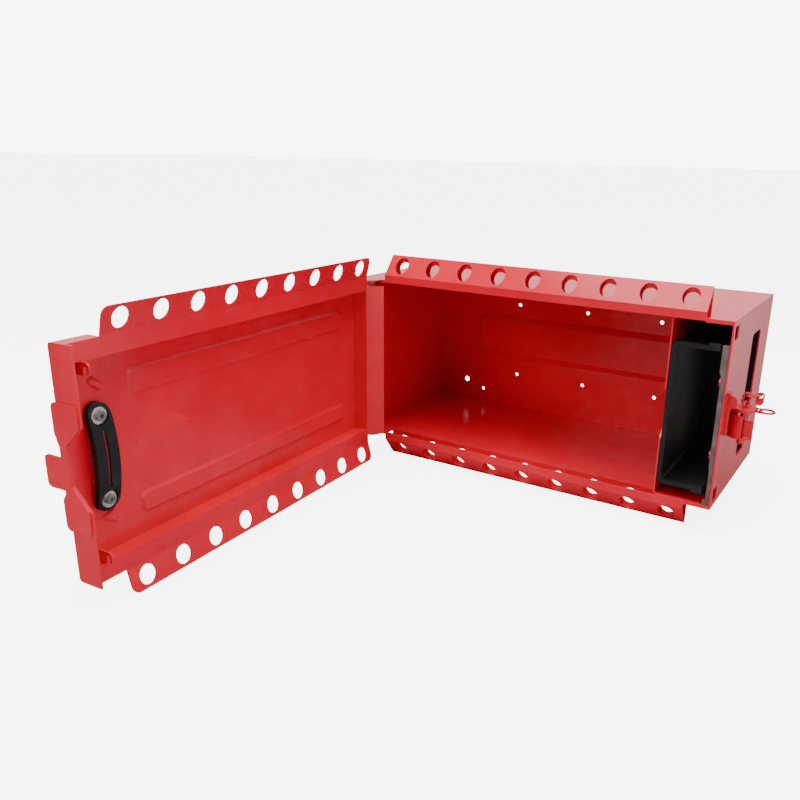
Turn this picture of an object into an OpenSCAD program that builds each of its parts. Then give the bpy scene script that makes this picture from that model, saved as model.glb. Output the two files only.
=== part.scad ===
// Group lockout box, sheet steel, door shown open. Millimetres.
// X runs along the length, Y from the front opening to the back, Z up.
// The origin is on the door hinge axis, level with the outside of the lower wall.
// The hinge is at the left end (low X), the latch and hand slot at the right end.

/* [Body] */
// outer length of the body along X
body_len = 375; // [373:1:377]
// outer height of the body between its two long walls
body_h = 165; // [164:1:168]
// outer depth of the body from the front plane to the back
body_depth = 168; // [164:1:172]
// sheet thickness of the body and of the door
sheet = 1.5; // [1.4:0.1:1.6]
// distance of the front plane behind the hinge axis
front_y = 4.5; // [4.4:0.1:4.6]
// depth of the back wall emboss
emboss = 2.2; // [1.6:0.2:3]

/* [Padlock flanges] */
// distance between two padlock holes
hole_pitch = 36; // [35:0.5:36.5]
// diameter of a padlock hole
hole_d = 15; // [10:0.5:15.5]
// height of the hole centres above the long walls
hole_rise = 14.5; // [14:0.5:15]
// height of the hole centres in the rear plate of the body flange
rear_rise = 10; // [9.5:0.5:10.5]
// height of the ridge above the long walls
ridge = 24; // [23.5:0.5:26]
// height of the front crease above the long walls
crease = 5; // [4.5:0.5:5.5]
// depth of the ridge behind the front plane
ridge_y = 14.4; // [14:0.2:15]

/* [Door] */
// opening angle of the door in the drawn position
door_open = 86.5; // [60:0.5:95]
// distance from the hinge axis to the outside of the door panel
panel_y = 12; // [11:0.5:13]
// gap between the door strip and the body front plane
door_gap = 1.1; // [0.9:0.1:1.4]
// lean of the door padlock flange towards the body at its outer edge
door_lean = 5; // [3:0.5:6]
// depth of the flange at the free end of the door
end_flange = 22.3; // [21:0.1:23]
// length of the pull tab in front of the panel
tab_len = 17; // [12:1:20]

/* [Latch] */
// diameter of the round head of the captive pin
head_d = 21; // [18:1:22]
// radius of the pin shank
pin_r = 2.6; // [2.2:0.1:3]
// running clearance on a radius
run = 0.06; // [0.05:0.01:0.09]
// free travel of the latch slide
travel = 7.5; // [6:0.5:7.5]

/* [Hand pocket] */
// wall thickness of the moulded pocket
pocket_t = 2.5; // [2:0.5:3]
// depth position of the back of the pocket
pocket_back = 132; // [131:1:136]

/* [Hidden] */
$fn = 64;
red = "#c8161d";
steel = "#b9b6b4";
black = "#17181a";

// body and flanges
body_left = -19;
body_right = body_left + body_len;
back_y = front_y + body_depth;
flange_left = 13.5;
flange_right = 333;
flange_len = flange_right - flange_left;
crease_z = body_h + crease;
ridge_z = body_h + ridge;
hole_z = body_h + hole_rise;

// partition and hand pocket
partition_x = 305;
pocket_x = 308;
pocket_z = 15;
pocket_h = 126;
pocket_front = front_y + 3;
rim_x = 306.7;
pocket_screw_r = 2;
pocket_shank = 4.6;
rivet_r = 1.6;
rivet_head_r = 2.8;

// hinge and door, with the door closed
hinge_r = 2.5;
hinge_plate_x = 15.7;
panel_x = hinge_plate_x + sheet;
panel_inner = -panel_y + sheet;
strip_back = front_y - door_gap;
strip_front = strip_back - sheet;
end_inner = body_right + 3.8;
end_outer = end_inner + sheet;
door_rib_r = 6.5;
door_rib_depth = 1.8;
door_rib_slope = 2.6;
// left, bottom, width, height
door_ribs = [[40, 119, 264, 21], [37, 25, 266, 18]];

// key flap and its fastenings
key_x = 334.7;
key_mid_z = 82;
flap_screw_z = [51, 113];
flap_screw_r = 2;
flap_washer_y = panel_inner + 4.6;
flap_washer_t = 1.2;
flap_head_y = panel_inner + 5.8;
nut_t = 2.8;

// latch
bar_x = body_right - sheet - 0.4;   // outer face of the bar
bar_front = front_y + 0.8;
bar_t = 3.8;
stud_y = front_y + 6.8;
stud_z = [48, 112];
stud_r = 2.5;
guard_y = front_y + 10;
guard_rivet_y = front_y + 15;
pin_x = body_right + 11;
pin_y = front_y + 30;
knob_x = body_right + 0.5;
knob_z = 61;
knob_top = 84;
head_z = 85.5;
tang_y = pin_y - 2.5;
tang_z = 69;
tang_t = 3;
tang_h = 12;

// ring eye, and chain pivots in the plane of the pin axis
eye_x = pin_x + head_d / 2 + 2.4;
eye_z = head_z + 2;
ring_r = 5.8;
staple_z = head_z + 3.4;
staple_r = 3.8;
chain_z = staple_z + staple_r;
lean_a = 12;
lean_b = 78;
tag_lean = 6;
pitch_a = 5.3;
pitch_b = 11;
link_b_x = pin_x + pitch_a * sin(lean_a);
link_b_z = chain_z + pitch_a * cos(lean_a);
tag_x = link_b_x + pitch_b * sin(lean_b);
tag_z = link_b_z + pitch_b * cos(lean_b);

// ---- Placing and shared shapes ----

// turns local Z to run along +X from the given point
module along_x(x, y, z) {
  translate([x, y, z]) rotate([0, 90, 0]) children();
}
// turns local Z to run along +Y from the given point
module along_y(x, y, z) {
  translate([x, y, z]) rotate([-90, 0, 0]) children();
}
// outline given as [Y, Z], extruded along +X
module extrude_x(x, length) {
  translate([x, 0, 0]) rotate([90, 0, 90]) linear_extrude(height = length) children();
}
// outline given as [X, Z], extruded along +Y
module extrude_y(y, length) {
  translate([0, y + length, 0]) rotate([90, 0, 0]) linear_extrude(height = length) children();
}
// drawn at the upper long wall and mirrored to the lower one
module both_walls() {
  children();
  translate([0, 0, body_h]) mirror([0, 0, 1]) children();
}
// drawn closed, turned to the open position
module in_door() {
  rotate([0, 0, -door_open]) children();
}
module rounded_rect(size, r) {
  translate([r, 0]) square([size[0] - 2 * r, size[1]]);
  translate([0, r]) square([size[0], size[1] - 2 * r]);
  for (x = [r, size[0] - r]) for (y = [r, size[1] - r]) translate([x, y]) circle(r);
}
// rounded plate standing in the YZ plane, corner at a point, size [Y, Z]
module plate_yz(corner, thick, size, r) {
  translate([0, corner[1], corner[2]]) extrude_x(corner[0], thick) rounded_rect(size, r);
}
// rounded plate standing in the XZ plane, corner at a point, size [X, Z]
module plate_xz(corner, thick, size, r) {
  translate([corner[0], 0, corner[2]]) extrude_y(corner[1], thick) rounded_rect(size, r);
}
// pressed field with sloped sides, raised along +Y; slope is the run of the sides
module pressing(width, height, r, depth, slope) {
  extrude_x(r, width - 2 * r)
    polygon([[0, 0], [0, height], [depth, height - slope], [depth, slope]]);
  translate([0, 0, r]) linear_extrude(height = height - 2 * r)
    polygon([[0, 0], [width, 0], [width - slope, depth], [slope, depth]]);
  for (x = [r, width - r]) for (z = [r, height - r])
    along_y(x, 0, z) cylinder(r1 = r, r2 = r - slope, h = depth);
}
// nine padlock hole cutters along the flange, at height 0
module hole_row(y = -40, length = 100) {
  for (i = [-4 : 4])
    along_y((flange_left + flange_right) / 2 + i * hole_pitch, y, 0)
      cylinder(r = hole_d / 2, h = length);
}

// ---- Fastening places ----

module at_partition_rivets() {
  both_walls() for (y = [60, 130]) translate([322, y, body_h]) children();
}
module at_pocket_screws() {
  for (y = [50, 112]) for (z = [35, 125]) along_x(partition_x, y, z) children();
}
module at_guide_studs(x) {
  for (z = stud_z) along_x(x, stud_y, z) children();
}
module at_guard_rivets(x) {
  for (z = [86, 100]) along_x(x, guard_rivet_y, z) children();
}
module at_flap_screws(y) {
  for (z = flap_screw_z) along_y(key_x, y, z) children();
}

// ---- Body ----

// height at depth y on a line through [y0, z0] with the slope of the slanted plate
function slant_z(y0, z0, y) = z0 + (y - y0) * (ridge - crease) / ridge_y;

// front strip, slanted plate and upright rear plate
module flange_section() {
  slant = sqrt(ridge_y * ridge_y + (ridge - crease) * (ridge - crease));
  ridge_front = front_y + ridge_y;
  ridge_back = ridge_front + sheet;
  strip_z = body_h - 2.4;
  // point on the inner face, one sheet square to the slanted plate from its front crease
  inner_y = front_y + sheet * (ridge - crease) / slant;
  inner_z = crease_z - sheet * ridge_y / slant;
  polygon([
    [front_y, strip_z], [front_y, crease_z], [ridge_front, ridge_z], [ridge_back, ridge_z],
    [ridge_back, body_h - sheet], [ridge_front, body_h - sheet],
    [ridge_front, slant_z(inner_y, inner_z, ridge_front)],
    [front_y + sheet, slant_z(inner_y, inner_z, front_y + sheet)],
    [front_y + sheet, strip_z]
  ]);
}

// back wall field pressed towards the front
module back_field(y, inset) {
  translate([32 + inset, y, 60 + inset]) mirror([0, 1, 0])
    pressing(261 - 2 * inset, 50 - 2 * inset, 11 - inset, emboss, 6);
}

module body_tray() {
  difference() {
    translate([body_left, front_y, 0]) cube([body_len, body_depth, body_h]);
    translate([body_left + sheet, front_y - 1, sheet])
      cube([body_len - 2 * sheet, body_depth + 1 - sheet, body_h - 2 * sheet]);
    // room for the flanges
    both_walls() translate([flange_left, front_y - 1, body_h - 4])
      cube([flange_len, ridge_y + 1, 6]);
  }
}

module body_edges() {
  lip = 3.5;
  both_walls() {
    extrude_x(flange_left, flange_len) flange_section();
    translate([flange_right, front_y, body_h - lip])
      cube([body_right - flange_right, sheet, lip]);
    translate([body_left, front_y, body_h - lip])
      cube([flange_left - body_left, sheet, lip]);
    // hinge ear
    translate([0, 0, body_h - sheet]) {
      cylinder(r = 8, h = sheet);
      translate([-8, 0, 0]) cube([16, front_y + 4, sheet]);
    }
  }
  // upright strip at the hinge end
  translate([body_left, front_y, 0]) cube([11, sheet, body_h]);
}

module back_wall_holes() {
  // x, z, radius of the hanging holes and the small hole
  holes = [[19, 25, 3.2], [318, 25, 3.2], [42, 16.5, 2]];
  for (x = [86, 168.5, 251]) for (z = [41.25, 123.75])
    along_y(x, back_y - 20, z) cylinder(r = 2, h = 40);
  for (hole = holes)
    along_y(hole[0], back_y - 20, hole[1]) cylinder(r = hole[2], h = 40);
}

module end_wall_openings() {
  // square catch windows
  for (z = [5, body_h - 17])
    translate([body_right - 5, front_y + 5, z]) cube([10, 14, 12]);
  // hand slot
  plate_yz([body_right - 5, front_y + 87, 21], 10, [37, body_h - 47], 6);
  // latch tang slot
  translate([body_right - 5, pin_y - 3.5, 65]) cube([10, 5, 27.2]);
  at_guide_studs(body_right - 6) cylinder(r = stud_r, h = 12);
  at_guard_rivets(body_right - 6) cylinder(r = rivet_r, h = 12);
}

module body_shell() {
  split_y = ridge_y - 0.1;   // depth where the front holes end and the rear ones begin
  color(red) difference() {
    union() {
      body_tray();
      back_field(back_y - sheet + 0.02, 0);
      // small boss beside the left hanging hole
      translate([15, back_y - sheet + 0.1, 25.5]) rotate([90, 0, 0])
        cylinder(r1 = 6.5, r2 = 4.5, h = 1.4);
      body_edges();
    }
    back_field(back_y + 0.02, 1.2);
    both_walls() {
      translate([0, 0, hole_z]) hole_row(-40, 40 + front_y + split_y);
      translate([0, 0, body_h + rear_rise]) hole_row(front_y + split_y, 6);
      translate([0, 0, body_h - 3]) cylinder(r = hinge_r, h = 6);
    }
    back_wall_holes();
    end_wall_openings();
    at_partition_rivets() translate([0, 0, -3]) cylinder(r = rivet_r, h = 6);
  }
}

// ---- Partition and hand pocket ----

// upright sheet folded to the right along both long walls
module partition() {
  right = 346;
  color(red) difference() {
    extrude_y(front_y + 2, body_depth - 2 - sheet) difference() {
      translate([partition_x, sheet]) rounded_rect([60, body_h - 2 * sheet], 4);
      translate([partition_x + sheet, 2 * sheet]) rounded_rect([60, body_h - 4 * sheet], 2.5);
      translate([right, 0]) square([40, body_h]);
    }
    // notch in the front edge
    extrude_x(partition_x - 5, 10)
      polygon([[front_y, 54], [front_y, 100], [front_y + 12, 100], [front_y + 12, 65]]);
    at_partition_rivets() translate([0, 0, -6]) cylinder(r = rivet_r, h = 8);
    at_pocket_screws() translate([0, 0, -5]) cylinder(r = pocket_screw_r, h = 10);
  }
}

module partition_rivets() {
  head_t = 0.9;
  color(red) at_partition_rivets() {
    translate([0, 0, -2 * sheet]) cylinder(r = rivet_r, h = 2 * sheet);
    translate([0, 0, -2 * sheet - head_t]) cylinder(r = rivet_head_r, h = head_t);
  }
}

// moulded guard tub behind the hand slot, open to the front and to the end wall
module hand_pocket() {
  hollow_front = front_y - 5;
  color(black) difference() {
    union() {
      plate_xz([pocket_x, pocket_front, pocket_z], pocket_back - pocket_front,
        [60, pocket_h], 5);
      // rim, stepped outwards at the right
      plate_xz([rim_x, pocket_front, 13.5], 3, [60, 129], 6);
      translate([337, pocket_front, 11.5]) cube([20, 3, 133]);
      // clip nib on the left side
      translate([rim_x, pocket_front, 104]) cube([3, 14, 13]);
      // feet against the partition
      at_pocket_screws() translate([0, 0, 1.5]) cylinder(r = 5, h = 3);
    }
    plate_xz([pocket_x + pocket_t, hollow_front, pocket_z + pocket_t],
      pocket_back - pocket_t - hollow_front, [70, pocket_h - 2 * pocket_t], 3);
    // right edge, further left near the front
    translate([346.6, -1, 0]) cube([40, 51, body_h]);
    translate([353.6, -1, 0]) cube([40, 200, body_h]);
    at_pocket_screws() translate([0, 0, -5]) cylinder(r = pocket_screw_r, h = 5 + pocket_shank);
  }
}

module pocket_screws() {
  head_t = 2.2;
  color(steel) at_pocket_screws() {
    translate([0, 0, -head_t]) cylinder(r = 3.8, h = head_t);
    cylinder(r = pocket_screw_r, h = pocket_shank);
  }
}

// ---- Latch ----

// low guard plate at the front edge of the end wall, with a rounded ear
module latch_guard() {
  color(red) difference() {
    union() {
      translate([body_right, guard_y, 66]) cube([3.2, 1.6, 34]);
      plate_xz([body_right, guard_y, 90], 1.6, [8, 11], 3.9);
      translate([body_right, guard_y, 82]) cube([1.5, 9, 21]);
    }
    at_guard_rivets(body_right - 1) cylinder(r = rivet_r, h = 6);
  }
}

module guard_rivets() {
  color(red) {
    at_guard_rivets(body_right - sheet) cylinder(r = rivet_r, h = 2 * sheet);
    at_guard_rivets(body_right + sheet) cylinder(r = rivet_head_r, h = 0.8);
  }
}

module guide_studs() {
  color(steel) {
    at_guide_studs(bar_x - bar_t - 1.6) cylinder(r = 4.2, h = 1.5);
    at_guide_studs(bar_x - 4) cylinder(r = stud_r, h = body_right - bar_x + 4);
  }
}

// flat zinc bar behind the end wall that slides up to catch the door
module latch_bar() {
  finger_t = 5.4;
  slot_r = stud_r + run;
  slot_low = -travel - 0.2;
  slot_high = 0.1;
  // inner edge: distance from the outer face, height
  inner_edge = [[3.2, 8], [3.2, 36], [bar_t, 37], [bar_t, 118], [4.2, 119],
    [finger_t, 122], [finger_t, 134]];
  color(steel) difference() {
    union() {
      extrude_y(bar_front, 12) polygon(concat(
        [for (p = inner_edge) [bar_x - p[0], p[1]]], [[bar_x, 134], [bar_x, 8]]));
      // upper catch finger
      extrude_y(bar_front, 2.4) polygon([[bar_x - finger_t, 133.9], [bar_x - finger_t, 144.5],
        [bar_x, 144.5], [bar_x, 133.9]]);
      // lower catch finger
      translate([bar_x - finger_t, bar_front, 4]) cube([finger_t, 2.4, 4.1]);
      // arm to the tang
      translate([bar_x - bar_t, front_y + 12.7, 66]) cube([bar_t, 24.2, 18]);
    }
    translate([bar_x - 5, tang_y, tang_z]) cube([10, tang_t, tang_h]);
    // stud slots
    for (z = stud_z) {
      for (end = [slot_high, slot_low])
        along_x(bar_x - 10, stud_y, z + end) cylinder(r = slot_r, h = 20);
      translate([bar_x - 10, stud_y - slot_r, z + slot_low])
        cube([20, 2 * slot_r, slot_high - slot_low]);
    }
  }
}

// round-eared slide that carries the captive pin, outside the end wall
module latch_knob() {
  top_t = head_z - knob_top;
  color(red) difference() {
    union() {
      // web with the tang that goes through the end wall
      translate([knob_x, tang_y, knob_z + 0.5]) cube([6.5, tang_t, knob_top - knob_z]);
      translate([body_right - sheet - 4.2, tang_y, tang_z]) cube([7, tang_t, tang_h]);
      // upper ear
      translate([pin_x, pin_y, knob_top - 0.1]) cylinder(r = 7.6, h = top_t);
      translate([knob_x, pin_y - 5, knob_top - 0.1]) cube([11, 8, top_t]);
      // lower ear
      translate([pin_x, pin_y, knob_z]) cylinder(d = head_d - 1, h = 1.6);
      translate([knob_x, pin_y - 5, knob_z]) cube([11, 9, 1.6]);
      // curled shield round the pin
      translate([pin_x, pin_y, knob_z + 1.5]) rotate([0, 0, 178])
        rotate_extrude(angle = 104) translate([8.2, 0]) square([1.4, 19.5]);
      // upright thumb plate
      translate([pin_x + 1.2, pin_y - 5.2, knob_z]) cube([8.6, 1.6, 17]);
    }
    translate([pin_x, pin_y, 50]) cylinder(r = pin_r + run, h = 50);
  }
}

module captive_pin() {
  shank_z = 55.5;
  color(red) union() {
    translate([pin_x, pin_y, shank_z]) cylinder(r = pin_r, h = head_z - shank_z + 0.1);
    translate([pin_x, pin_y, head_z]) cylinder(d = head_d, h = 2.4);
    translate([pin_x, pin_y, shank_z - 1]) cylinder(r1 = pin_r - 0.8, r2 = pin_r, h = 1.1);
    // staple on top for the chain
    intersection() {
      along_x(pin_x, pin_y, staple_z)
        rotate_extrude() translate([staple_r, 0]) circle(r = 1, $fn = 24);
      translate([pin_x - 5, pin_y - 8, head_z + 0.2]) cube([10, 16, 12]);
    }
    // eye at the rim for the ring
    difference() {
      translate([pin_x + head_d / 2 - 1, pin_y - 2.6, head_z - 0.4]) cube([5.6, 1.8, 4.4]);
      along_y(eye_x, pin_y - 5, eye_z) cylinder(r = 1.5, h = 8);
    }
  }
}

module pull_ring() {
  color(red) translate([eye_x + ring_r, pin_y - 1.7, eye_z])
    rotate_extrude() translate([ring_r, 0]) circle(r = 1.1, $fn = 24);
}

// long link lying in the XZ plane, centred, ends along Z; r is the wire radius
module link(straight, width, r) {
  rotate([90, 0, 0]) for (side = [-1, 1]) {
    translate([side * width / 2, -straight / 2, 0]) rotate([-90, 0, 0])
      cylinder(r = r, h = straight, $fn = 24);
    translate([0, side * straight / 2, 0]) rotate([0, 0, side > 0 ? 0 : 180])
      rotate_extrude(angle = 180) translate([width / 2, 0]) circle(r = r, $fn = 24);
  }
}

// each chain part is drawn upright at its pivot and tipped about Y
module chain_link_a() {
  color(red) translate([pin_x, pin_y, chain_z]) rotate([0, lean_a, 0])
    translate([0, 0, 2.7]) link(4.6, 5.4, 1);
}
module chain_link_b() {
  color(red) translate([link_b_x, pin_y, link_b_z]) rotate([0, lean_b, 0])
    translate([0, 0, pitch_b / 2]) rotate([0, 0, 90]) link(6, 5, 1.05);
}
// flat tag that ends the chain
module chain_link_c() {
  color(red) translate([tag_x, pin_y, tag_z]) rotate([0, tag_lean, 0])
    translate([0, 0, -0.6]) difference() {
      plate_xz([-3.2, -0.9, -8.2], 1.8, [6.4, 11.4], 3.15);
      along_y(0, -5, 0) cylinder(r = 1.9, h = 10);
    }
}

// ---- Hinge ----

module hinge_pins() {
  color(red) both_walls() {
    translate([0, 0, body_h - 7.6]) cylinder(r = hinge_r, h = 7.6);
    translate([0, 0, body_h - 7.5]) cylinder(r = 4, h = 1.4);
  }
}

module hinge_washers() {
  drop = 4.45;   // underside below the outside of the wall
  color(steel) both_walls() difference() {
    translate([0, 0, body_h - drop]) cylinder(r = 4.4, h = drop - sheet);
    translate([0, 0, body_h - 10]) cylinder(r = hinge_r, h = 12);
  }
}

// folded plate and leaves that carry the door on its pins
module hinge_plate() {
  gap = 4.5;
  color(red) in_door() difference() {
    union() {
      translate([0, 0, gap]) linear_extrude(height = body_h - 2 * gap)
        polygon([[hinge_plate_x, -panel_y], [panel_x, -panel_y], [panel_x, front_y + 0.3],
          [7.2, 19.3], [6, 18.4], [hinge_plate_x, front_y - 0.3]]);
      for (z = [gap, body_h - gap - sheet]) translate([0, 0, z]) {
        cylinder(r = 6, h = sheet);
        translate([0, -6, 0]) cube([hinge_plate_x + 0.5, 10, sheet]);
      }
    }
    translate([0, 0, -1]) cylinder(r = hinge_r + run, h = body_h + 2);
  }
}

// ---- Door ----

module door_strip_section() {
  polygon([[strip_front, body_h - 4.2], [strip_front, crease_z],
    [strip_front + door_lean, ridge_z], [strip_back + door_lean, ridge_z],
    [strip_back, crease_z], [strip_back, body_h - 4.2]]);
}

// long ribs pressed towards the body
module rib_pair(y, inset) {
  for (rib = door_ribs)
    translate([rib[0] + inset, y, rib[1] + inset])
      pressing(rib[2] - 2 * inset, rib[3] - 2 * inset, door_rib_r - inset,
        door_rib_depth, door_rib_slope);
}

// cutter that rounds an upper flange corner; side is -1 for left, 1 for right
module corner_cutter(x, r, side) {
  translate([x, -20, ridge_z]) mirror([side < 0 ? 1 : 0, 0, 0]) translate([-r, 0, -r])
    difference() {
      cube([r + 2, 40, r + 2]);
      along_y(0, -1, 0) cylinder(r = r, h = 42);
    }
}

// notch cutter for the rear edge of the end flange
module end_notch() {
  floor_y = -4.9;
  edge_y = -panel_y + end_flange + 0.01;
  extrude_x(end_inner - 3, 12) polygon([[floor_y, 70], [floor_y, 99.5], [edge_y, 114],
    [40, 114], [40, 53.5], [edge_y, 53.5]]);
}

module door_sheet() {
  fold_z = body_h - 8 - sheet;
  depth = panel_y + strip_back;
  corner_len = end_outer - flange_right;
  translate([panel_x, -panel_y, 8]) cube([end_outer - panel_x, sheet, body_h - 16]);
  both_walls() {
    translate([panel_x, -panel_y, fold_z]) cube([end_outer - panel_x, depth, sheet]);
    translate([panel_x, strip_front, fold_z]) cube([flange_right - panel_x, sheet, 5.4]);
    extrude_x(flange_left, flange_len) door_strip_section();
    translate([flange_right - 0.1, strip_front, fold_z]) cube([corner_len + 0.1, sheet, 13.4]);
    // closed corner
    translate([flange_right, -panel_y, body_h + 3.9 - sheet]) cube([corner_len, depth, sheet]);
    translate([flange_right, -panel_y, body_h - 9]) cube([corner_len, sheet, 12.9]);
  }
  // end flange over the outside of the body end wall
  translate([end_inner, -panel_y, -3.9]) cube([sheet, end_flange, body_h + 7.8]);
}

module door_pressings() {
  pressed_y = panel_inner - 0.02;
  rib_pair(pressed_y, 0);
  // stiffening darts beside the key flap
  translate([331, pressed_y, 134]) rotate([0, -38, 0]) translate([-7.5, 0, -3.4])
    pressing(15, 6.8, 3.3, 1.8, 1.8);
  along_y(330, pressed_y, 35.5) cylinder(r1 = 9.5, r2 = 6, h = 1.8, $fn = 3);
  // small round bumps: x, z
  for (p = [[44, 82], [99, 82], [246.5, 84], [300, 83]])
    along_y(p[0], panel_inner - 0.2, p[1]) cylinder(r = 1.8, h = 0.7);
}

module door_panel() {
  color(red) in_door() difference() {
    union() {
      door_sheet();
      door_pressings();
    }
    rib_pair(-panel_y - 0.02, 1.1);
    both_walls() {
      translate([0, 0, hole_z]) hole_row();
      corner_cutter(flange_left, 6, -1);
      corner_cutter(flange_right, 6, 1);
      // round outer edge of the closed corner
      translate([0, -panel_y + 3, body_h + 0.9]) difference() {
        translate([flange_right - 0.01, -5, 0]) cube([40, 5, 5]);
        along_x(flange_right - 1, 0, 0) cylinder(r = 3, h = 42);
      }
    }
    end_notch();
    // key slot and flap screw holes
    plate_xz([key_x - 6.5, -panel_y - 5, 61], 12, [7, 43], 3);
    at_flap_screws(-30) cylinder(r = flap_screw_r, h = 40);
  }
}

// second layer on the end flange with the pull tab, spot welded
module door_end_plate() {
  color(red) in_door() difference() {
    union() {
      for (z = [103, 36])
        plate_yz([end_outer, -panel_y - 3.5, z], sheet, [panel_y + 12.5, 26], 4.5);
      extrude_x(end_outer, sheet) polygon([
        [-panel_y - 2, 56], [5, 56], [-1, 68], [-1, 98], [5, 110], [-panel_y - 2, 110],
        [-panel_y - 2, 102], [-panel_y, 98], [-panel_y, 64], [-panel_y - 2, 60]
      ]);
      plate_yz([end_outer, -panel_y - tab_len, 66], sheet, [tab_len + 8, 24], 4);
    }
    end_notch();
  }
}

// two hooked tabs behind the door panel that the latch bar catches
module catch_tabs() {
  // hook outline: distance behind the front plane, height
  hook = [[0.4, 0], [0.4, 6.5], [3.6, 6.5], [3.6, 0.5], [4.6, 0.5], [6, 3.5], [6, 7], [3.5, 9.5]];
  color(red) in_door() for (z = [9.5, body_h - 19]) translate([0, 0, z])
    extrude_x(348.8, sheet) polygon(concat([[panel_inner, 0]],
      [for (p = hook) [front_y + p[0], p[1]]], [[panel_inner, 9.5]]));
}

// ---- Key flap ----

// cylinder about the bow axis of the flap
module bow(x, r, length) {
  along_x(x, panel_inner - 114.5, key_mid_z) cylinder(r = r, h = length, $fn = 256);
}

// bowed rubber strip over the key slot, slit into two lips
module key_flap() {
  cut_y = panel_inner - 1;
  color(black) in_door() difference() {
    union() {
      intersection() {
        plate_xz([key_x - 9.3, cut_y, 41.7], 14, [18.6, 80.6], 9.25);
        difference() {
          bow(key_x - 12, 125, 24);
          bow(key_x - 13, 120.5, 26);
        }
        translate([key_x - 12, panel_inner, 30]) cube([24, 20, 104]);
      }
      at_flap_screws(panel_inner) cylinder(r = 6, h = 4);
    }
    // the lips are thinner beside the slit
    intersection() {
      bow(key_x - 5.5, 123.3, 11);
      translate([key_x - 5.5, cut_y, 60.5]) cube([11, 14, 43]);
    }
    // slit with a relief hole at its lower end
    plate_xz([key_x - 1.1, cut_y, 61], 14, [2.2, 42], 1.05);
    along_y(key_x, cut_y, 61.8) cylinder(r = 2, h = 14);
    // screw holes and washer seats
    at_flap_screws(cut_y) {
      cylinder(r = flap_screw_r, h = 20);
      translate([0, 0, 5.6]) cylinder(r = 6.8, h = 20);
    }
  }
}

module flap_washers() {
  color(steel) in_door() at_flap_screws(flap_washer_y) difference() {
    cylinder(r = 6.3, h = flap_washer_t);
    translate([0, 0, -1]) cylinder(r = flap_screw_r, h = 4);
  }
}

module flap_screws() {
  tip = panel_y + nut_t + 0.1;   // in front of the hinge axis
  color(steel) in_door() at_flap_screws(0) difference() {
    union() {
      translate([0, 0, -tip]) cylinder(r = flap_screw_r, h = tip + flap_head_y);
      translate([0, 0, flap_head_y]) cylinder(r = 3.6, h = 2.4);
    }
    // hexagon socket
    translate([0, 0, flap_head_y + 1]) cylinder(r = 1.5, h = 3, $fn = 6);
  }
}

module flap_nuts() {
  color(steel) in_door() at_flap_screws(-panel_y - nut_t) difference() {
    cylinder(r = 4, h = nut_t, $fn = 6);
    translate([0, 0, -1]) cylinder(r = flap_screw_r, h = 5);
  }
}

body_shell();
partition();
partition_rivets();
hand_pocket();
pocket_screws();
latch_guard();
guard_rivets();
guide_studs();
latch_bar();
latch_knob();
captive_pin();
pull_ring();
chain_link_a();
chain_link_b();
chain_link_c();
hinge_pins();
hinge_washers();
door_panel();
door_end_plate();
hinge_plate();
catch_tabs();
key_flap();
flap_washers();
flap_screws();
flap_nuts();
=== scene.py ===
"""Looks, studio and camera for a red powder-coated box with a door and a latch bar.

Metres, +Z up. The box stands on a pale floor near the origin. The camera looks
down at it from the -Y side, a little toward +X.
"""

import math

import bpy
from mathutils import Matrix, Vector


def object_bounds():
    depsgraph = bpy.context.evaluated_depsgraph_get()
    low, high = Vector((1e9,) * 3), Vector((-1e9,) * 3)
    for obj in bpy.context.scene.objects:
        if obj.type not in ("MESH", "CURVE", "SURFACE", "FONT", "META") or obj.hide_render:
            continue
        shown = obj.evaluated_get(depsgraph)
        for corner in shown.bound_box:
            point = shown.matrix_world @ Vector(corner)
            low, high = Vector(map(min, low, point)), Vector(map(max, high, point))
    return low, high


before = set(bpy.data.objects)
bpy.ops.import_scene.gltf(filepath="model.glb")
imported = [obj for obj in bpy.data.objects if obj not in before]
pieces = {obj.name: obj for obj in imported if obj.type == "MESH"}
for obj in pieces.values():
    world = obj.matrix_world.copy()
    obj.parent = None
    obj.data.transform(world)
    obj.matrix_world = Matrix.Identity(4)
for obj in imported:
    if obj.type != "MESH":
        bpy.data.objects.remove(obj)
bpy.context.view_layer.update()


# ---------------------------------------------------------------- node helpers
def feed(tree, node, inputs):
    """Fill a node's inputs: a socket is linked, anything else is set as the value."""
    for key, source in inputs.items():
        if isinstance(source, bpy.types.NodeSocket):
            tree.links.new(source, node.inputs[key])
        else:
            node.inputs[key].default_value = source


def add(tree, kind, inputs=None):
    node = tree.nodes.new("ShaderNode" + kind)
    feed(tree, node, inputs or {})
    return node


def noise(tree, vector, scale, detail=3.0, roughness=0.5):
    return add(tree, "TexNoise", {
        "Vector": vector, "Scale": scale, "Detail": detail, "Roughness": roughness,
    }).outputs["Fac"]


def ramp(tree, factor, stops):
    """Two-stop colour ramp; each stop is (position, colour)."""
    node = add(tree, "ValToRGB", {"Fac": factor})
    for element, (position, color) in zip(node.color_ramp.elements, stops):
        element.position = position
        element.color = color
    return node.outputs["Color"]


def remap(tree, value, source, target):
    """Map the range source = (low, high) onto target, clamped."""
    return add(tree, "MapRange", {
        "Value": value,
        "From Min": source[0], "From Max": source[1],
        "To Min": target[0], "To Max": target[1],
    }).outputs[0]


def mix_color(tree, factor, first, second):
    node = add(tree, "Mix")
    node.data_type = "RGBA"
    # 6 and 7 are the colour inputs, output 2 is the colour result
    feed(tree, node, {0: factor, 6: first, 7: second})
    return node.outputs[2]


def bump(tree, height, strength, distance, under=None):
    """Bump normal, laid over the normal `under` if there is one."""
    inputs = {"Height": height, "Strength": strength, "Distance": distance}
    if under is not None:
        inputs["Normal"] = under
    return add(tree, "Bump", inputs).outputs["Normal"]


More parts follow.
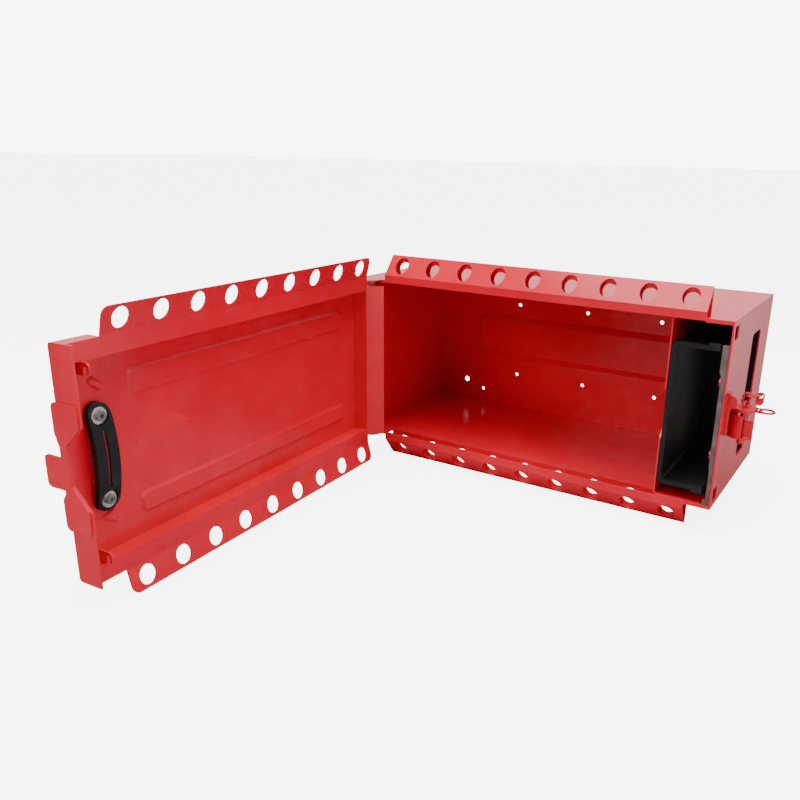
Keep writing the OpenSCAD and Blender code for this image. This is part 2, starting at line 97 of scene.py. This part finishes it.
def edge_mask(tree, source, amount):
    """Zero on flat faces, rising to `amount` on sharp outer edges."""
    pointiness = add(tree, "NewGeometry").outputs["Pointiness"]
    return remap(tree, pointiness, source=source, target=(0.0, amount))


def rgb(red, green, blue):
    return (red, green, blue, 1)


def grey(level):
    return (level, level, level, 1)


def new_material(name):
    """Return the material, its tree, its Principled node and object coordinates."""
    material = bpy.data.materials.new(name)
    material.use_nodes = True
    tree = material.node_tree
    tree.nodes.clear()
    output = add(tree, "OutputMaterial")
    surface = add(tree, "BsdfPrincipled")
    feed(tree, output, {"Surface": surface.outputs["BSDF"]})
    coords = add(tree, "TexCoord").outputs["Object"]
    return material, tree, surface, coords


# ---------------------------------------------------------------- materials
def red_paint(name, base=rgb(0.72, 0.005, 0.026), deep=rgb(0.63, 0.004, 0.021),
              peel=0.09, roughness=0.2):
    """Powder coat; `peel` is the strength of its orange-peel bump."""
    material, tree, surface, coords = new_material(name)
    patches = noise(tree, coords, scale=9.0, detail=2.0)
    mottle = noise(tree, coords, scale=60.0)

    red = ramp(tree, patches, [(0.3, deep), (0.65, base)])
    # a faint dusty film in blotches
    dust = remap(tree, mottle, source=(0.5, 0.85), target=(0.0, 0.025))
    dusty = mix_color(tree, dust, red, rgb(0.75, 0.5, 0.48))
    # painted highlight: sharp edges are a brighter red
    edge_highlight = edge_mask(tree, source=(0.53, 0.62), amount=0.35)

    # fine orange peel over gentle sheet waviness
    peel_height = noise(tree, coords, scale=420.0, detail=1.5, roughness=0.45)
    wave_height = noise(tree, coords, scale=14.0, detail=1.0, roughness=0.4)
    waves = bump(tree, wave_height, strength=0.2, distance=0.0012)
    normal = bump(tree, peel_height, strength=peel, distance=0.0008, under=waves)

    feed(tree, surface, {
        "Base Color": mix_color(tree, edge_highlight, dusty, rgb(0.85, 0.03, 0.03)),
        "Roughness": remap(tree, mottle, source=(0.3, 0.75),
                           target=(roughness - 0.03, roughness + 0.07)),
        "Specular IOR Level": 0.3,
        "Coat Weight": 0.1,
        "Coat Roughness": 0.06,
        "Normal": normal,
        "Coat Normal": normal,
    })
    return material


def metal(name, base, dark, roughness, grain_scale=(1, 1, 1), grain_bump=0.06):
    """Blotchy bare metal; `grain_scale` squeezes the grain along each axis."""
    material, tree, surface, coords = new_material(name)
    squeezed = add(tree, "Mapping", {"Vector": coords, "Scale": grain_scale})
    grain = noise(tree, squeezed.outputs["Vector"], scale=120.0, detail=4.0)
    blotches = noise(tree, coords, scale=110.0)
    feed(tree, surface, {
        "Base Color": ramp(tree, blotches, [(0.32, dark), (0.62, base)]),
        "Roughness": remap(tree, grain, source=(0.3, 0.7),
                           target=(roughness - 0.06, roughness + 0.1)),
        "Metallic": 1.0,
        "Normal": bump(tree, grain, strength=grain_bump, distance=0.0002),
    })
    return material


def black_plastic(name, base, edge_highlight_color, roughness, grain_scale=900.0, grain_bump=0.12):
    """Near-black, finely grained, with a painted highlight on its paler sharp edges."""
    material, tree, surface, coords = new_material(name)
    grain = noise(tree, coords, scale=grain_scale, detail=2.0)
    patches = noise(tree, coords, scale=35.0)
    lighter = rgb(*(channel * 1.5 for channel in base[:3]))
    patchy = ramp(tree, patches, [(0.35, base), (0.75, lighter)])
    # painted highlight: sharp edges are mixed toward a paler colour
    edge_highlight = edge_mask(tree, source=(0.51, 0.60), amount=0.8)
    feed(tree, surface, {
        "Base Color": mix_color(tree, edge_highlight, patchy, edge_highlight_color),
        "Roughness": remap(tree, patches, source=(0.3, 0.7),
                           target=(roughness - 0.05, roughness + 0.08)),
        "Specular IOR Level": 0.25,
        "Normal": bump(tree, grain, strength=grain_bump, distance=0.0003),
    })
    return material


body_paint = red_paint("powder_coat_body")
door_paint = red_paint("powder_coat_door", peel=0.12)
# painted shade: the small latch parts get a darker copy of the body red, standing in for the
# shade they sit in
small_paint = red_paint(
    "powder_coat_small_parts", base=rgb(0.58, 0.004, 0.020), deep=rgb(0.46, 0.003, 0.014),
    peel=0.2, roughness=0.24)
# painted reflection: the zinc is tinted pink, standing in for the red paint it reflects
zinc = metal(
    "zinc_bar", base=rgb(0.36, 0.27, 0.27), dark=rgb(0.24, 0.18, 0.18),
    roughness=0.36, grain_scale=(8, 8, 1), grain_bump=0.12)
screw_metal = metal(
    "socket_screws", base=rgb(0.42, 0.41, 0.39), dark=rgb(0.22, 0.21, 0.20), roughness=0.28)
steel = metal(
    "turned_steel", base=rgb(0.80, 0.79, 0.76), dark=rgb(0.58, 0.56, 0.53), roughness=0.24)
pocket_plastic = black_plastic(
    "pocket_plastic", base=rgb(0.004, 0.0042, 0.0048), edge_highlight_color=rgb(0.03, 0.032, 0.034),
    roughness=0.45)
rubber = black_plastic(
    "flap_rubber", base=rgb(0.004, 0.004, 0.0044), edge_highlight_color=rgb(0.02, 0.02, 0.021),
    roughness=0.55, grain_scale=600.0, grain_bump=0.2)

# material, then the pieces that wear it
FINISHES = [
    (body_paint, "body_shell partition partition_rivets hinge_pins"),
    (door_paint, "door_panel door_end_plate hinge_plate catch_tabs"),
    (small_paint, "latch_guard guard_rivets guide_studs latch_knob captive_pin pull_ring "
                  "chain_link_a chain_link_b chain_link_c"),
    (zinc, "latch_bar hinge_washers"),
    (screw_metal, "flap_screws"),
    (steel, "pocket_screws flap_washers flap_nuts"),
    (pocket_plastic, "hand_pocket"),
    (rubber, "key_flap"),
]
finish_of = {piece: material for material, names in FINISHES for piece in names.split()}

# ---------------------------------------------------------------- rounded edges
# bevel widths; pieces not listed take the default
DEFAULT_EDGE = 0.00025
EDGE_WIDTHS = {
    "body_shell": 0.0006, "door_panel": 0.0006, "hinge_plate": 0.0006,
    "partition": 0.0005, "door_end_plate": 0.0005,
    "hand_pocket": 0.0007, "key_flap": 0.0009,
    "latch_bar": 0.0004, "captive_pin": 0.0004, "latch_knob": 0.0004, "chain_link_c": 0.0004,
}
WELD_DISTANCE = 0.000004
BEVEL_ANGLE = math.radians(28)  # flatter edges than this stay unbevelled


def soften(piece, width):
    """Weld the seams, round the sharp edges and keep the flat faces flat-shaded."""
    weld = piece.modifiers.new("weld", "WELD")
    weld.merge_threshold = WELD_DISTANCE
    bevel = piece.modifiers.new("fold_radius", "BEVEL")
    bevel.width = width
    bevel.segments = 2
    bevel.limit_method = "ANGLE"
    bevel.angle_limit = BEVEL_ANGLE
    bevel.use_clamp_overlap = True
    bevel.harden_normals = False
    bevel.miter_outer = "MITER_ARC"
    normals = piece.modifiers.new("flat_faces", "WEIGHTED_NORMAL")
    normals.mode = "FACE_AREA"
    normals.weight = 50
    normals.keep_sharp = True


for name, piece in pieces.items():
    piece.data.materials.clear()
    piece.data.materials.append(finish_of[name])
    soften(piece, EDGE_WIDTHS.get(name, DEFAULT_EDGE))

# ---------------------------------------------------------------- floor
FLOOR_HALF = 30.0
FLOOR_X = 0.1
FLOOR_GAP = 0.0002  # clearance under the lowest point of the box


def link_new(name, data):
    """Make an object and put it in the scene."""
    made = bpy.data.objects.new(name, data)
    bpy.context.scene.collection.objects.link(made)
    return made


def floor_material():
    """Glowing white to the camera, grey to reflected and bounced light."""
    material, tree, surface, coords = new_material("pale_floor")
    patches = noise(tree, coords, scale=2.0)
    pale = ramp(tree, patches, [(0.3, grey(0.90)), (0.7, grey(0.93))])
    ray = add(tree, "LightPath").outputs

    # painted reflection: reflections see a floor painted dim at low X and brightening toward
    # +X
    position = add(tree, "NewGeometry").outputs["Position"]
    x_place = add(tree, "SeparateXYZ", {0: position}).outputs["X"]
    level = remap(tree, x_place, source=(0.40, 0.62), target=(0.22, 0.85))
    painted_reflection_card = add(tree, "CombineColor", {0: level, 1: level, 2: level}).outputs[0]
    color = mix_color(tree, ray["Is Glossy Ray"], pale, painted_reflection_card)
    color = mix_color(tree, ray["Is Diffuse Ray"], color, grey(0.6))

    feed(tree, surface, {
        "Base Color": color,
        "Emission Color": grey(1),
        "Emission Strength": remap(tree, ray["Is Camera Ray"],
                                   source=(0.0, 1.0), target=(0.0, 5.5)),
        "Roughness": 0.85,
        "Specular IOR Level": 0.1,
    })
    return material


floor_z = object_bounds()[0].z - FLOOR_GAP
floor_mesh = bpy.data.meshes.new("studio_floor")
floor_mesh.from_pydata(
    [(x * FLOOR_HALF, y * FLOOR_HALF, 0) for x, y in ((-1, -1), (1, -1), (1, 1), (-1, 1))],
    [], [(0, 1, 2, 3)])
floor = link_new("studio_floor", floor_mesh)
floor.location = (FLOOR_X, 0.0, floor_z)
floor.data.materials.append(floor_material())


# ---------------------------------------------------------------- world
def math_node(tree, operation, first, second):
    node = add(tree, "Math", {0: first, 1: second})
    node.operation = operation
    return node.outputs[0]


def build_world():
    """Bright surroundings behind (+Y), above and toward +X; a dim room on the -Y side."""
    world = bpy.data.worlds.new("studio")
    bpy.context.scene.world = world
    world.use_nodes = True
    tree = world.node_tree
    tree.nodes.clear()
    output = add(tree, "OutputWorld")
    ray = add(tree, "LightPath").outputs
    direction = add(tree, "TexCoord").outputs["Generated"]
    axis = add(tree, "SeparateXYZ", {0: direction}).outputs

    rear = remap(tree, axis["Y"], source=(-0.55, 0.25), target=(0.0, 1.0))
    side = remap(tree, axis["X"], source=(0.35, 0.9), target=(0.0, 0.75))
    above = remap(tree, axis["Z"], source=(0.35, 0.85), target=(0.0, 0.9))
    glow = math_node(tree, "MAXIMUM", math_node(tree, "MAXIMUM", rear, side), above)
    power = remap(tree, glow, source=(0.0, 1.0), target=(0.16, 1.0))
    # reflections see the full glow, the diffuse fill is weaker
    fill = remap(tree, ray["Is Diffuse Ray"], source=(0.0, 1.0), target=(1.0, 0.42))
    strength = math_node(tree, "MULTIPLY", power, fill)

    lighting = add(tree, "Background", {"Color": grey(1.0), "Strength": strength})
    backdrop = add(tree, "Background", {"Color": grey(1.0), "Strength": 8.0})
    split = add(tree, "MixShader", {
        0: ray["Is Camera Ray"], 1: lighting.outputs[0], 2: backdrop.outputs[0]})
    feed(tree, output, {0: split.outputs[0]})


build_world()


# ---------------------------------------------------------------- lights
def softbox(name, place, target, width, height, watts):
    """White rectangular area light aimed at `target`."""
    data = bpy.data.lights.new(name, "AREA")
    data.shape = "RECTANGLE"
    data.size = width
    data.size_y = height
    data.energy = watts
    data.color = (1, 1, 1)
    light = link_new(name, data)
    light.location = place
    light.rotation_mode = "QUATERNION"
    light.rotation_quaternion = (Vector(target) - Vector(place)).to_track_quat("-Z", "Y")


softbox("top_softbox", place=(0.25, -0.15, 1.5), target=(0.15, 0.0, 0.05),
        width=1.5, height=1.1, watts=42.0)
softbox("left_front_softbox", place=(-0.4, -2.5, 1.6), target=(0.15, 0.05, 0.08),
        width=1.0, height=1.0, watts=36.0)
softbox("right_softbox", place=(1.7, -0.6, 0.7), target=(0.2, 0.0, 0.08),
        width=0.8, height=1.0, watts=4.5)

# ---------------------------------------------------------------- camera
CAMERA_PLACE = Vector((0.48021, -0.652, 0.28772))
# the camera's own X, Y and Z axes in the world; it looks along minus CAMERA_BACK
CAMERA_RIGHT = Vector((0.851379, 0.52416, 0.02026))
CAMERA_UP = Vector((-0.181841, 0.25869, 0.94869))
CAMERA_BACK = Vector((0.492024, -0.811379, 0.315557))

lens = bpy.data.cameras.new("camera")
camera = link_new("camera", lens)
turn = Matrix((CAMERA_RIGHT, CAMERA_UP, CAMERA_BACK)).transposed().to_4x4()
camera.matrix_world = Matrix.Translation(CAMERA_PLACE) @ turn
lens.sensor_width = 36.0
lens.lens = 35.6908
lens.shift_x = -0.05
lens.shift_y = 0.02125
lens.clip_start = 0.01
lens.clip_end = 200.0
bpy.context.scene.camera = camera
